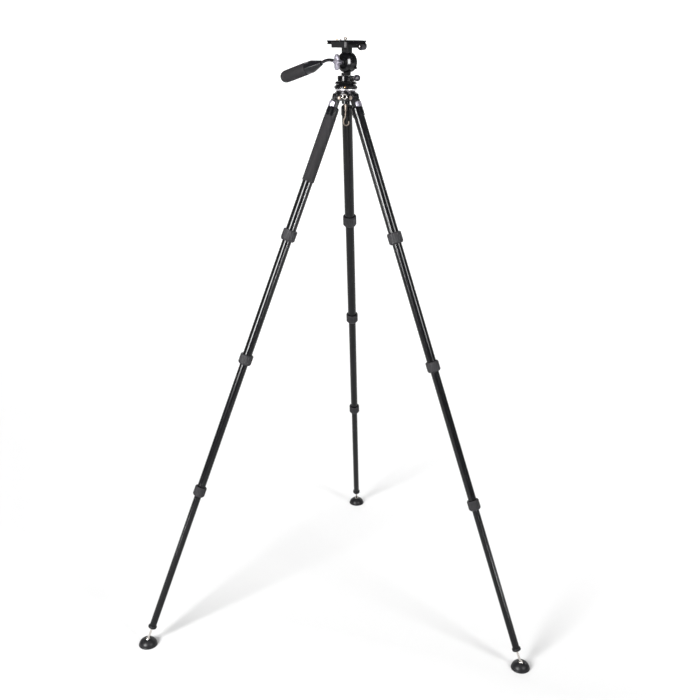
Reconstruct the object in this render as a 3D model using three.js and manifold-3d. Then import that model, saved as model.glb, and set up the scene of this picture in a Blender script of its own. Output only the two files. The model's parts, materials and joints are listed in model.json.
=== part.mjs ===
// A four-section travel tripod with a levelling bowl and a two-way fluid head.
// Millimetres, +Z up. The origin is on the floor, under the middle of the footprint.
// The rear leg stands towards +Y, and the other two stand towards -X and +X at the front.
import * as THREE from "three";
import { mergeVertices } from "three/addons/utils/BufferGeometryUtils.js";
import Module from "manifold-3d";

const wasm = await Module();
wasm.setup();

// ---- Driving dimensions ----

const LEGS = [
  { side: "rear", azimuth: 90, grip: false },
  { side: "left", azimuth: 210, grip: true },
  { side: "right", azimuth: 330, grip: false },
];
const LEG_ANGLE = 21.4; // degrees from vertical, legs set
const HINGE_RADIUS = 25;
const HINGE_HEIGHT = 1495;
const TUBE_RADII = [14, 12.5, 11, 9.5];
const TUBE_WALL = 1.2;
const HEAD_DEPTH = 49.5; // hinge to the lower edge of a leg's top casting
const CUP_TOP = 25; // where that casting widens to take the tube
const CASTING_FLOOR = 29; // the tube's stop inside it
const EYE_HALF = 7.8; // half the width of a leg's hinge eye
const EAR_GAP = 8.1; // half the gap between two ears of the shoulder
const TAB_SPAN = [13, 27]; // an angle tab, down from the hinge
const TAB_OUTWARD = [5, 13.5];
// Twist locks, as distances down the leg from the hinge.
const LOCKS = [
  { radius: 19.2, top: 360.5, height: 31 },
  { radius: 17.8, top: 715.5, height: 28.5 },
  { radius: 16.4, top: 1109, height: 28 },
];
const TUBE_IN_LOCK = 18.5; // an upper tube ends this far below its lock's top
const LOCK_GAP = 3; // between two locks when the leg is closed
const LAST_TRAVEL = 384;
const FOLDED_TOP = 31; // where all inner tubes end when the leg is closed
const LEG_END = 1550.5;
const FOOT_RADIUS = 26;
const BALL_RADIUS = 8;
const BALL_HEIGHT = 15.5;
const GRIP_SPAN = [50, 227];

const CAP_RADIUS = 32;
const CAP_HEIGHT = 1503.8; // underside of the shoulder's cap
const PORT_HEIGHT = 1498;
const HOOK_WIRE = 1.75; // radius

const LEVEL_HEIGHT = 1517; // centre of the levelling ball
const LEVEL_RADIUS = 20;
const LEVEL_TOP = 1535.2;

const HEAD_TURN = -40; // degrees; the lens side points along the head's own +X
const TILT_HEIGHT = 1582;
const DISC_RADIUS = 24.5;
const BAR_Y = -15.65; // middle of the pan bar's eye
const PAN_KNOB_HEIGHT = 1544.1;
const CLAMP_HEIGHT = 1617;
const CLAMP_SPAN = [-29, 26.5];
const CLAMP_TOP = CLAMP_HEIGHT + 14;
const CLAMP_SCREW = { x: 17, z: CLAMP_HEIGHT + 4.5 };
const BUTTON = { y: 19.5, z: CLAMP_HEIGHT + 4 };
const PLATE_HEIGHT = 1625.3;
const PLATE_SPAN = [-51, 52];
const CAMERA_SCREW_X = -2.5;
const HANDLE = { x: -75.7, z: 1579.2, slope: 105.1 };

const RUN = 0.35; // running clearance between a pin and its bore
const LEG_SIDES = 16; // facets round a leg's tubes and locks

// ---- Derived places ----

const radians = THREE.MathUtils.degToRad;
const legSine = Math.sin(radians(LEG_ANGLE));
const legCosine = Math.cos(radians(LEG_ANGLE));
const ballDepth = (HINGE_HEIGHT - BALL_HEIGHT) / legCosine;
const footCircle = HINGE_RADIUS + ballDepth * legSine;
const panAxisY = -footCircle / 4;
const travels = [
  LOCKS[1].top - LOCKS[0].top - LOCKS[0].height - LOCK_GAP,
  LOCKS[2].top - LOCKS[1].top - LOCKS[1].height - LOCK_GAP,
  LAST_TRAVEL,
];

// ---- Finishes ----

const finish = (color, roughness, metalness) =>
  new THREE.MeshStandardMaterial({ color, roughness, metalness });

const finishes = {
  tube: finish(0x0c0c0d, 0.22, 0.6),
  casting: finish(0x121214, 0.35, 0.5),
  collar: finish(0x2b2b2e, 0.75, 0.0),
  rubber: finish(0x161618, 0.8, 0.0),
  foam: finish(0x3a383b, 0.95, 0.0),
  steel: finish(0xb9b9bd, 0.25, 1.0),
  champagne: finish(0xa89a86, 0.35, 1.0),
  silver: finish(0x9c9ca4, 0.35, 0.9),
  vial: finish(0xb9d65a, 0.1, 0.0),
};

// ---- Solids ----

function signedVolume(position, index) {
  const a = new THREE.Vector3();
  const b = new THREE.Vector3();
  const c = new THREE.Vector3();
  let sum = 0;
  for (let i = 0; i < index.length; i += 3) {
    a.fromBufferAttribute(position, index[i]);
    b.fromBufferAttribute(position, index[i + 1]);
    c.fromBufferAttribute(position, index[i + 2]);
    sum += a.dot(b.cross(c));
  }
  return sum / 6;
}

// A closed three.js geometry as a solid that can be joined and cut.
function solidOf(geometry) {
  const bare = geometry.index ? geometry.toNonIndexed() : geometry.clone();
  bare.deleteAttribute("normal");
  bare.deleteAttribute("uv");
  const merged = mergeVertices(bare, 1e-4);
  const { position } = merged.attributes;
  const kept = [];
  for (let i = 0; i < merged.index.count; i += 3) {
    const [a, b, c] = merged.index.array.slice(i, i + 3);
    if (a !== b && b !== c && c !== a) kept.push(a, b, c);
  }
  if (signedVolume(position, kept) < 0) kept.reverse();
  return new wasm.Manifold(
    new wasm.Mesh({
      numProp: 3,
      vertProperties: position.array,
      triVerts: new Uint32Array(kept),
    }),
  );
}

const asSolid = (shape) => (shape.isBufferGeometry ? solidOf(shape) : shape);

function join(first, ...others) {
  return others.reduce((sum, shape) => sum.add(asSolid(shape)), asSolid(first));
}

function cut(first, ...tools) {
  return tools.reduce((rest, tool) => rest.subtract(asSolid(tool)), asSolid(first));
}

// A named mesh of one solid.
function piece(name, shape, material) {
  const { vertProperties, triVerts } = asSolid(shape).getMesh();
  const indexed = new THREE.BufferGeometry();
  indexed.setAttribute("position", new THREE.BufferAttribute(vertProperties, 3));
  indexed.setIndex(new THREE.BufferAttribute(triVerts, 1));
  const geometry = indexed.toNonIndexed();
  geometry.computeVertexNormals();
  const mesh = new THREE.Mesh(geometry, material);
  mesh.name = name;
  return mesh;
}

// A profile of [radius, height] points turned about Y. It ends on the axis or is closed here.
function turnedAboutY(profile, sides = 24) {
  const points = profile.map(([r, h]) => new THREE.Vector2(r, h));
  if (points[0].x > 0) points.push(points[0].clone());
  return new THREE.LatheGeometry(points, sides);
}

const turned = (profile, sides) => turnedAboutY(profile, sides).rotateX(Math.PI / 2);

const turnedAboutX = (profile, sides) => turnedAboutY(profile, sides).rotateZ(-Math.PI / 2);

// Points of an arc of a circle round [centreR, centreH], from one angle to another.
function arc(centreR, centreH, radius, fromDegrees, toDegrees, steps) {
  return Array.from({ length: steps + 1 }, (_, i) => {
    const angle = radians(fromDegrees + ((toDegrees - fromDegrees) * i) / steps);
    return [centreR + radius * Math.cos(angle), centreH + radius * Math.sin(angle)];
  });
}

// The part of a sphere's profile between two heights above its centre, which is on the axis.
function bowl(centreH, radius, fromRise, toRise, steps) {
  const degrees = (rise) => THREE.MathUtils.radToDeg(Math.asin(rise / radius));
  return arc(0, centreH, radius, degrees(fromRise), degrees(toRise), steps);
}

const barrel = (radius, from, to) => [[0, from], [radius, from], [radius, to], [0, to]];

function box(x, y, z) {
  const size = [x[1] - x[0], y[1] - y[0], z[1] - z[0]];
  const middle = [(x[0] + x[1]) / 2, (y[0] + y[1]) / 2, (z[0] + z[1]) / 2];
  return new THREE.BoxGeometry(...size).translate(...middle);
}

function outline(points) {
  return new THREE.Shape(points.map(([a, b]) => new THREE.Vector2(a, b)));
}

// An outline in X and Z, as thick as from one Y to another.
function sheetAlongY(points, y) {
  const depth = y[1] - y[0];
  const geometry = new THREE.ExtrudeGeometry(outline(points), { depth, bevelEnabled: false });
  return geometry.rotateX(Math.PI / 2).translate(0, y[1], 0);
}

// An outline in Y and Z, as long as from one X to another.
function barAlongX(points, x) {
  const depth = x[1] - x[0];
  const geometry = new THREE.ExtrudeGeometry(outline(points), { depth, bevelEnabled: false });
  return geometry.rotateX(Math.PI / 2).rotateZ(Math.PI / 2).translate(x[0], 0, 0);
}

// Round wire or rod through points in the XZ plane at one Y.
function rodThrough(points, y, radius, sides, steps) {
  const path = new THREE.CatmullRomCurve3(
    points.map(([x, z]) => new THREE.Vector3(x, y, z)),
  );
  const section = new THREE.Shape(
    Array.from({ length: sides }, (_, i) => {
      const angle = (2 * Math.PI * i) / sides;
      return new THREE.Vector2(radius * Math.cos(angle), radius * Math.sin(angle));
    }),
  );
  return new THREE.ExtrudeGeometry(section, { steps, extrudePath: path, bevelEnabled: false });
}

// ---- Legs: +X is outward, and distances down the leg run along -Z ----

const downLeg = (profile) => turned(profile.map(([r, s]) => [r, -s]), LEG_SIDES);

function hingeBolt() {
  const shank = 13.4;
  const end = 16.2;
  return turnedAboutY(
    [[0, -end], [5, -end], [5, -shank], [4, -shank], [4, shank], [5, shank], [5, end], [0, end]],
    16,
  );
}

const tabMiddle = (TAB_SPAN[0] + TAB_SPAN[1]) / 2;

function legCasting() {
  const [tabTop, tabBottom] = TAB_SPAN;
  const eye = turnedAboutY(barrel(8, -EYE_HALF, EYE_HALF), 16);
  const neck = box([-8, 8], [-EYE_HALF, EYE_HALF], [-CUP_TOP - 2, 0]);
  const heel = box([4, 11], [-EYE_HALF, EYE_HALF], [-tabTop, -7]);
  const cup = downLeg([
    [0, CUP_TOP],
    [14.4, CUP_TOP],
    [15.3, CUP_TOP + 1.2],
    [15.3, CUP_TOP + 8.6],
    [15.8, CUP_TOP + 9.2],
    [15.8, HEAD_DEPTH],
    [14.3, HEAD_DEPTH],
    [14.3, CASTING_FLOOR],
    [0, CASTING_FLOOR],
  ]);
  const bore = turnedAboutY(barrel(4 + RUN, -10, 10), 16);
  const pocket = box(
    [TAB_OUTWARD[0] - 0.4, 20],
    [-EAR_GAP, EAR_GAP],
    [-tabBottom - 0.4, -tabTop + 0.4],
  );
  const stemHole = turnedAboutX(barrel(2.7, -5, 6), 12).translate(0, 0, -tabMiddle);
  return cut(join(eye, neck, heel, cup), bore, pocket, stemHole);
}

function angleTab() {
  const block = box(TAB_OUTWARD, [-7.6, 7.6], [-TAB_SPAN[1], -TAB_SPAN[0]]);
  const stem = turnedAboutX(barrel(2.3, -4, 6), 12).translate(0, 0, -tabMiddle);
  return join(block, stem);
}

// Where each tube starts when the leg is fully open.
function tubeTop(number) {
  if (number === 0) return CASTING_FLOOR + 0.3;
  return FOLDED_TOP + travels.slice(0, number).reduce((sum, travel) => sum + travel, 0);
}

function legTube(number) {
  const outer = TUBE_RADII[number];
  const inner = outer - TUBE_WALL;
  const top = tubeTop(number);
  if (number < LOCKS.length) {
    const end = LOCKS[number].top + TUBE_IN_LOCK;
    return downLeg([[outer, top], [outer, end], [inner, end], [inner, top]]);
  }
  // The last tube carries its end cap, with the threaded hole for the foot.
  const cap = 12.2;
  return downLeg([
    [outer, top],
    [outer, LEG_END - 7.5],
    [cap, LEG_END - 7.2],
    [cap, LEG_END - 1.5],
    [cap - 1.2, LEG_END],
    [3.6, LEG_END],
    [3.6, LEG_END - 15.5],
    [inner, LEG_END - 15.5],
    [inner, top],
  ]);
}

function twistLock(number) {
  const { radius, top, height } = LOCKS[number];
  const bottom = top + height;
  const tubeEnd = top + TUBE_IN_LOCK + 0.5;
  const sleeve = TUBE_RADII[number] + 0.4;
  const lip = TUBE_RADII[number + 1] + 0.45;
  return downLeg([
    [sleeve, top],
    [radius - 1, top],
    [radius, top + 1.2],
    [radius, bottom - 5],
    [radius - 3, bottom],
    [lip, bottom],
    [lip, tubeEnd],
    [sleeve, tubeEnd],
  ]);
}

function legGrip() {
  const [top, bottom] = GRIP_SPAN;
  const inner = TUBE_RADII[0] + 0.35;
  const outer = 16.1;
  return downLeg([
    [inner, top],
    [outer - 0.5, top],
    [outer, top + 2],
    [outer, bottom - 2],
    [outer - 0.5, bottom],
    [inner, bottom],
  ]);
}

function footStud() {
  const stem = 3.2;
  const shoulder = THREE.MathUtils.radToDeg(Math.acos(stem / BALL_RADIUS));
  return downLeg([
    [0, LEG_END - 13.5],
    [stem, LEG_END - 13.5],
    ...arc(0, ballDepth, BALL_RADIUS, -shoulder, 90, 7).slice(0, -1),
    [0, ballDepth + BALL_RADIUS],
  ]);
}

function footPad() {
  const socket = BALL_RADIUS + RUN;
  const lip = 20.5;
  return turned([
    [0, 0],
    [25.5, 0],
    [FOOT_RADIUS, 1.5],
    [25, 6],
    [21.5, 12.5],
    [15.5, 18.2],
    [9.4, 21.8],
    [8.6, 21.8],
    ...bowl(BALL_HEIGHT, socket, lip - BALL_HEIGHT, -socket, 6).slice(0, -1),
    [0, BALL_HEIGHT - socket],
  ]);
}

function leg({ side, azimuth, grip }) {
  const upright = new THREE.Group();
  upright.rotation.z = radians(azimuth);

  const slanted = new THREE.Group();
  slanted.position.set(HINGE_RADIUS, 0, HINGE_HEIGHT);
  slanted.rotation.y = -radians(LEG_ANGLE);
  upright.add(slanted);

  slanted.add(piece(`${side}_hinge_bolt`, hingeBolt(), finishes.champagne));
  slanted.add(piece(`${side}_leg_head`, legCasting(), finishes.casting));
  slanted.add(piece(`${side}_angle_tab`, angleTab(), finishes.silver));
  TUBE_RADII.forEach((_, number) => {
    slanted.add(piece(`${side}_tube_${number + 1}`, legTube(number), finishes.tube));
  });
  LOCKS.forEach((_, number) => {
    slanted.add(piece(`${side}_twist_lock_${number + 1}`, twistLock(number), finishes.collar));
  });
  if (grip) slanted.add(piece("leg_grip", legGrip(), finishes.foam));
  slanted.add(piece(`${side}_foot_stud`, footStud(), finishes.steel));

  const pad = piece(`${side}_foot_pad`, footPad(), finishes.rubber);
  pad.position.x = footCircle;
  upright.add(pad);
  return upright;
}

// ---- Shoulder and hook ----

// The cap with its rim, which is open where a leg swings through.
function shoulderCap() {
  const seat = 25.4;
  const shell = turned([
    [0, CAP_HEIGHT],
    [29.5, CAP_HEIGHT],
    [29.5, CAP_HEIGHT - 3.4],
    [CAP_RADIUS - 0.8, CAP_HEIGHT - 3.4],
    [CAP_RADIUS, CAP_HEIGHT - 2.4],
    [CAP_RADIUS, CAP_HEIGHT + 1.2],
    [seat, CAP_HEIGHT + 5.8],
    [seat, CAP_HEIGHT + 2.2],
    [0, CAP_HEIGHT + 2.2],
  ]);
  const mouths = LEGS.map(({ azimuth }) => {
    const mouth = box([20, 40], [-EAR_GAP, EAR_GAP], [CAP_HEIGHT - 10, CAP_HEIGHT]);
    return mouth.rotateZ(radians(azimuth));
  });
  return cut(shell, ...mouths);
}

function shoulder() {
  const hub = turned(
    [
      [0, 1478.4],
      [10.8, 1478.4],
      [10.8, 1486],
      [13, 1488],
      [13, CAP_HEIGHT + 0.7],
      [0, CAP_HEIGHT + 0.7],
    ],
    16,
  );
  const portBoss = turnedAboutY(barrel(7, -30, -10), 16).translate(0, 0, PORT_HEIGHT);
  const portHole = turnedAboutY(barrel(4.4, -31, -18), 12).translate(0, 0, PORT_HEIGHT);
  const hookHole = turned(barrel(3.1, 1477, 1497), 12);

  const earOutline = [
    [6, 1487],
    ...arc(HINGE_RADIUS, HINGE_HEIGHT, 8.2, -90, 0, 4),
    [31, CAP_HEIGHT + 1],
    [6, CAP_HEIGHT + 1],
  ];
  const ears = [];
  const bores = [];
  for (const { azimuth } of LEGS) {
    for (const y of [[EAR_GAP, EAR_GAP + 5], [-EAR_GAP - 5, -EAR_GAP]]) {
      ears.push(sheetAlongY(earOutline, y).rotateZ(radians(azimuth)));
    }
    const bore = turnedAboutY(barrel(4 + RUN, -15, 15), 16);
    bores.push(bore.translate(HINGE_RADIUS, 0, HINGE_HEIGHT).rotateZ(radians(azimuth)));
  }
  return cut(join(shoulderCap(), hub, portBoss, ...ears), portHole, hookHole, ...bores);
}

function weightHook() {
  const boss = [1462.4, 1477.7];
  const body = turned(
    [[0, boss[0]], [3.5, boss[0]], [3.5, boss[1]], [2.6, boss[1]], [2.6, 1495], [0, 1495]],
    12,
  );
  const route = [
    [0, 1464],
    [-1, 1447],
    [-5, 1438],
    [-5, 1429],
    [1.5, 1423.8],
    [8, 1428],
    [8.5, 1435],
  ];
  return join(body, rodThrough(route, 0, HOOK_WIRE, 8, 24));
}

// ---- Levelling bowl ----

function levelBase() {
  return turned(
    [
      [24.6, 1506.3],
      [24.6, 1509.6],
      [26.5, 1511.5],
      [28.9, 1515.5],
      [28.9, LEVEL_HEIGHT + 0.2],
      ...bowl(LEVEL_HEIGHT, LEVEL_RADIUS + 1.6, 0.2, -10.5, 4),
      [18.88, 1506.3],
    ],
  );
}

function levelLiner() {
  return turned(
    [
      ...bowl(LEVEL_HEIGHT, LEVEL_RADIUS + 1.25, -6, -0.6, 2),
      ...bowl(LEVEL_HEIGHT, LEVEL_RADIUS + 0.35, -0.6, -6, 2),
    ],
  );
}

function levelBall() {
  return turned(
    [
      [0, LEVEL_HEIGHT - 6],
      ...bowl(LEVEL_HEIGHT, LEVEL_RADIUS, -6, 16, 6),
      [23.7, 1533],
      [25.1, 1530.7],
      [26.2, 1528.4],
      [28.7, 1529],
      [28, 1531],
      [26.6, 1533.2],
      [24, LEVEL_TOP],
      [5.1, LEVEL_TOP],
      [5.1, 1520],
      [0, 1520],
    ],
  );
}

function levelRing() {
  return turned(
    [
      [29.2, 1517.6],
      [30.2, 1518.6],
      [30.2, 1522.2],
      [29.4, 1524],
      [26.8, 1524.4],
      [26.6, 1525.6],
      [25.8, 1527.6],
      [20, 1527.6],
      ...bowl(LEVEL_HEIGHT, LEVEL_RADIUS + 0.4, 9.3, 5, 2),
      ...bowl(LEVEL_HEIGHT, LEVEL_RADIUS + 1.6, 4.4, 0.6, 2),
    ],
  );
}

function levelling() {
  const group = new THREE.Group();
  group.add(piece("level_base", levelBase(), finishes.casting));
  group.add(piece("level_liner", levelLiner(), finishes.rubber));
  group.add(piece("level_ball", levelBall(), finishes.casting));
  group.add(piece("level_ring", levelRing(), finishes.casting));
  group.add(piece("head_stud", turned(barrel(4.7, 1521, 1545), 16), finishes.steel));
  return group;
}

// ---- Fluid head: +X is the lens side, and -Y is the side of the star knob ----

function panBase() {
  const body = turned(
    [
      [0, 1535.5],
      [20.5, 1535.5],
      [22, 1537],
      [22, 1547.5],
      [20.5, 1549],
      [0, 1549],
    ],
  );
  const boss = turnedAboutX(barrel(5.5, 18, 27), 16).translate(0, 0, PAN_KNOB_HEIGHT);
  const knobHole = turnedAboutX(barrel(2.9, 14, 28), 12).translate(0, 0, PAN_KNOB_HEIGHT);
  const studHole = turned(barrel(5.1, 1535, 1546), 16);
  const vialPocket = turned(barrel(4.9, 1545.5, 1550), 16).translate(-15.5, 0, 0);
  return cut(join(body, boss), knobHole, studHole, vialPocket);
}

function panKnob() {
  const profile = [
    [0, 15],
    [2.5, 15],
    [2.5, 33],
    [5.6, 33],
    [8, 36.5],
    [8, 42.5],
    [6.3, 46.2],
    [0, 47.5],
  ];
  return turnedAboutX(profile, 20).translate(0, 0, PAN_KNOB_HEIGHT);
}

// Work on the tilt discs is done about their own axis and then lifted to the tilt height.
const atTilt = (geometry) => geometry.translate(0, 0, TILT_HEIGHT);

function tiltBracket() {
  const foot = box([-10, 10], [-7, 7.5], [1549.3, 1556.3]);
  const web = box([-10, 10], [0.4, 7.5], [1556.3, TILT_HEIGHT]);
  const disc = atTilt(turnedAboutY(barrel(DISC_RADIUS, 0.4, 7.5)));
  const bore = atTilt(turnedAboutY(barrel(4 + RUN, 0, 8), 16));
  return cut(join(foot, web, disc), bore);
}

function clampFloor() {
  const corner = 7;
  const [west, east] = CLAMP_SPAN;
  const [south, north] = [-28.5, 23.5];
  const shape = outline([
    [west, north],
    ...arc(west + corner, south + corner, corner, 180, 270, 4),
    ...arc(east - corner, south + corner, corner, 270, 360, 4),
    [east, north],
  ]);
  const geometry = new THREE.ExtrudeGeometry(shape, { depth: 14, bevelEnabled: false });
  const slab = geometry.translate(0, 0, CLAMP_HEIGHT);
  // The channel for the plate leaves the fixed jaw standing on the -Y side.
  const channel = barAlongX(
    [
      [24, CLAMP_HEIGHT + 7.9],
      [24, CLAMP_HEIGHT + 15],
      [-17.1, CLAMP_HEIGHT + 15],
      [-17.1, CLAMP_HEIGHT + 12.9],
      [-19.7, CLAMP_HEIGHT + 10.1],
      [-19.7, CLAMP_HEIGHT + 7.9],
    ],
    [-30, 30],
  );
  return cut(slab, channel);
}

function tiltBody() {
  const disc = atTilt(
    turnedAboutY(
      [
        [0, -11],
        [10.5, -11],
        [11.3, -7.6],
        [14.2, -7.6],
        [15.4, -11],
        [17, -11],
        [23.6, -7.8],
        [25, -6.6],
        [25, 0],
        [0, 0],
      ],
      32,
    ),
  );
  const neck = box([-10, 10], [-7, 0], [TILT_HEIGHT, 1609]);
  // The bridge arches over the bracket's disc and the lock ring.
  const arch = atTilt(turnedAboutY(barrel(DISC_RADIUS + 0.9, 0, 12), 48));
  const bridge = cut(box([-10, 10], [-7, 11.5], [1601, CLAMP_HEIGHT + 0.5]), arch);
  const bore = atTilt(turnedAboutY(barrel(4 + RUN, -8.3, 1), 16));
  const starHole = atTilt(turnedAboutY(barrel(3.6, -12, -8), 16));
  const screwHole = turnedAboutY(barrel(3, 11, 25), 12);
  const buttonHole = turnedAboutX(barrel(2.95, 20.8, 28), 12);
  return cut(
    join(disc, neck, bridge, clampFloor()),
    bore,
    starHole,
    screwHole.translate(CLAMP_SCREW.x, 0, CLAMP_SCREW.z),
    buttonHole.translate(0, BUTTON.y, BUTTON.z),
  );
}

function tiltLockRing() {
  const rim = DISC_RADIUS;
  const disc = turnedAboutY(
    [[0, 7.9], [rim - 0.8, 7.9], [rim, 8.7], [rim, 15.5], [rim - 2, 17.5], [0, 17.5]],
    32,
  );
  const lever = box([22, 29], [11, 15], [-3, 3]).rotateY(radians(32));
  const bore = turnedAboutY(barrel(4.4, 7, 18), 16);
  return cut(join(atTilt(disc), atTilt(lever)), atTilt(bore));
}

function tiltAxle() {
  return atTilt(
    turnedAboutY([[0, -8], [4, -8], [4, 17.9], [7, 17.9], [7, 19.6], [6.2, 20.4], [0, 20.4]], 20),
  );
}

function clampJaw() {
  const jaw = barAlongX(
    [
      [19.7, CLAMP_HEIGHT + 8.2],
      [19.7, CLAMP_HEIGHT + 10.1],
      [17.1, CLAMP_HEIGHT + 12.9],
      [17.1, CLAMP_TOP],
      [28.5, CLAMP_TOP],
      [28.5, CLAMP_HEIGHT],
      [24, CLAMP_HEIGHT],
      [24, CLAMP_HEIGHT + 8.2],
    ],
    CLAMP_SPAN,
  );
  const hole = turnedAboutY(barrel(3.1, 20, 30), 12);
  return cut(jaw, hole.translate(CLAMP_SCREW.x, 0, CLAMP_SCREW.z));
}

function clampKnob() {
  const profile = [
    [0, 12],
    [2.6, 12],
    [2.6, 31.6],
    [8.5, 31.6],
    [10.5, 33.6],
    [10.5, 43],
    [8, 50],
    [0, 50],
  ];
  return turnedAboutY(profile, 20).translate(CLAMP_SCREW.x, 0, CLAMP_SCREW.z);
}

function cameraPlate() {
  const half = [
    [19.2, PLATE_HEIGHT],
    [19.2, PLATE_HEIGHT + 1.7],
    [16.6, PLATE_HEIGHT + 4.5],
    [16.6, PLATE_HEIGHT + 6.1],
    [20, PLATE_HEIGHT + 6.1],
    [20, PLATE_HEIGHT + 9.7],
  ];
  const mirrored = half.map(([y, z]) => [-y, z]).reverse();
  const bar = barAlongX([...half, ...mirrored], PLATE_SPAN);
  const through = turned(barrel(5, PLATE_HEIGHT - 1, PLATE_HEIGHT + 11), 16);
  const counterbore = turned(barrel(8.6, PLATE_HEIGHT - 1, PLATE_HEIGHT + 3.5), 20);
  const pins = [-34, -20].map((x) =>
    turned(barrel(1.6, PLATE_HEIGHT + 9, PLATE_HEIGHT + 13.7), 12).translate(x, 0, 0),
  );
  const plate = cut(
    bar,
    through.translate(CAMERA_SCREW_X, 0, 0),
    counterbore.translate(CAMERA_SCREW_X, 0, 0),
  );
  return join(plate, ...pins);
}

function cameraScrew() {
  const top = 1643.4;
  const profile = [
    [0, 1625.7],
    [8.1, 1625.7],
    [8.1, 1628.4],
    [4.6, 1628.4],
    [4.6, top - 0.9],
    [3.8, top],
    [0, top],
  ];
  return turned(profile, 16).translate(CAMERA_SCREW_X, 0, 0);
}

// The knob's outline has four lobes, the upright pair longer than the level pair.
function starKnob() {
  const steps = 48;
  const lobes = Array.from({ length: steps }, (_, i) => {
    const angle = (2 * Math.PI * i) / steps;
    const radius = 11.6 - 4.15 * Math.cos(2 * angle) + 4.1 * Math.cos(4 * angle);
    return [radius * Math.cos(angle), radius * Math.sin(angle)];
  });
  const star = sheetAlongY(lobes, [-38, -28.5]);
  const stem = turnedAboutY(
    [[0, -37], [7, -37], [7, -20.4], [3.2, -20.4], [3.2, -9.2], [0, -9.2]],
    16,
  );
  return join(atTilt(star), atTilt(stem));
}

function panBar() {
  const route = [
    [-6, 1583],
    [-25, 1585],
    [-45, 1586.8],
    [-60, 1585],
    [-72, 1580.8],
    [-84.5, 1577],
  ];
  const eyeHalf = 4.25;
  const eye = atTilt(turnedAboutY(barrel(9.5, BAR_Y - eyeHalf, BAR_Y + eyeHalf), 20));
  const bore = atTilt(turnedAboutY(barrel(3.6, BAR_Y - 6, BAR_Y + 6), 16));
  return cut(join(eye, rodThrough(route, BAR_Y, 4.2, 10, 16)), bore);
}

function handle() {
  const group = new THREE.Group();
  group.position.set(HANDLE.x, BAR_Y, HANDLE.z);
  group.rotation.y = -radians(HANDLE.slope);
  const core = 12;
  const ferrule = turned([
    [0, 12],
    [5.2, 12],
    [5.2, 0],
    [6.2, 0],
    [16.2, 35.5],
    [16.2, 54],
    [core, 54],
    [core, 120],
    [0, 120],
  ]);
  const sleeve = turned([
    [0, 121],
    [core + 0.3, 121],
    [core + 0.3, 54.4],
    [16.6, 54.4],
    [16.6, 146],
    [15.2, 152],
    [11.5, 156.5],
    [6, 158],
    [0, 158],
  ]);
  group.add(piece("bar_ferrule", ferrule, finishes.tube));
  group.add(piece("bar_grip", sleeve, finishes.foam));
  return group;
}

function fluidHead() {
  const group = new THREE.Group();
  group.rotation.z = radians(HEAD_TURN);
  const vial = turned(barrel(4.6, 1545.8, 1548.8), 16).translate(-15.5, 0, 0);
  const button = turnedAboutX(barrel(2.6, 23.6, 29.5), 12).translate(0, BUTTON.y, BUTTON.z);
  group.add(piece("pan_base", panBase(), finishes.casting));
  group.add(piece("bubble_vial", vial, finishes.vial));
  group.add(piece("pan_knob", panKnob(), finishes.collar));
  group.add(piece("tilt_bracket", tiltBracket(), finishes.casting));
  group.add(piece("tilt_body", tiltBody(), finishes.casting));
  group.add(piece("tilt_lock_ring", tiltLockRing(), finishes.casting));
  group.add(piece("tilt_axle", tiltAxle(), finishes.steel));
  group.add(piece("clamp_jaw", clampJaw(), finishes.casting));
  group.add(piece("clamp_knob", clampKnob(), finishes.casting));
  group.add(piece("release_button", button, finishes.steel));
  group.add(piece("camera_plate", cameraPlate(), finishes.casting));
  group.add(piece("camera_screw", cameraScrew(), finishes.steel));
  group.add(piece("star_knob", starKnob(), finishes.silver));
  group.add(piece("pan_bar", panBar(), finishes.tube));
  group.add(handle());
  return group;
}

// ---- The whole tripod ----

const tripod = new THREE.Group();
tripod.position.y = panAxisY;
LEGS.forEach((settings) => tripod.add(leg(settings)));
tripod.add(piece("shoulder", shoulder(), finishes.casting));
tripod.add(piece("weight_hook", weightHook(), finishes.champagne));
tripod.add(levelling());
tripod.add(fluidHead());

const part = new THREE.Group();
part.add(tripod);
export default part;
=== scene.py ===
"""The looks of a four-section tripod with a levelling bowl and a two-way fluid head.

Shapes are written in millimetres in the local frame of the sub-part they belong to, and are placed in
the row frame, in metres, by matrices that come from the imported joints.
"""

import json
import math

import bmesh
import bpy
from mathutils import Matrix, Vector


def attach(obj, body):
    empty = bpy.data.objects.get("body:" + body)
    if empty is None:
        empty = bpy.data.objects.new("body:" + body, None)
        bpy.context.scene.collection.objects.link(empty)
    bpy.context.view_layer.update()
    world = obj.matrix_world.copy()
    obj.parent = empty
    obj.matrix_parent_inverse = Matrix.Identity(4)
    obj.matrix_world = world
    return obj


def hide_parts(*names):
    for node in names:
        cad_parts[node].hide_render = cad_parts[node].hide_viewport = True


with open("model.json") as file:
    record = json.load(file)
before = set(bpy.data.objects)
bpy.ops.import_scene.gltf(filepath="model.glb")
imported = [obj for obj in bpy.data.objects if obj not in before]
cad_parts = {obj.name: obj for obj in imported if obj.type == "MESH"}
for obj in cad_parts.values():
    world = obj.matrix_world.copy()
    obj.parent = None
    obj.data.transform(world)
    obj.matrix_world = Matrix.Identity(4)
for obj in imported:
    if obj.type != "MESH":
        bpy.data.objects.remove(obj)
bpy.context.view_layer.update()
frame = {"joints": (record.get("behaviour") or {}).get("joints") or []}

JOINTS = {joint["name"]: joint for joint in frame["joints"]}
MM = 0.001
SIDES = ("rear", "left", "right")

# ---- Sizes, in millimetres ----

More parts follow.
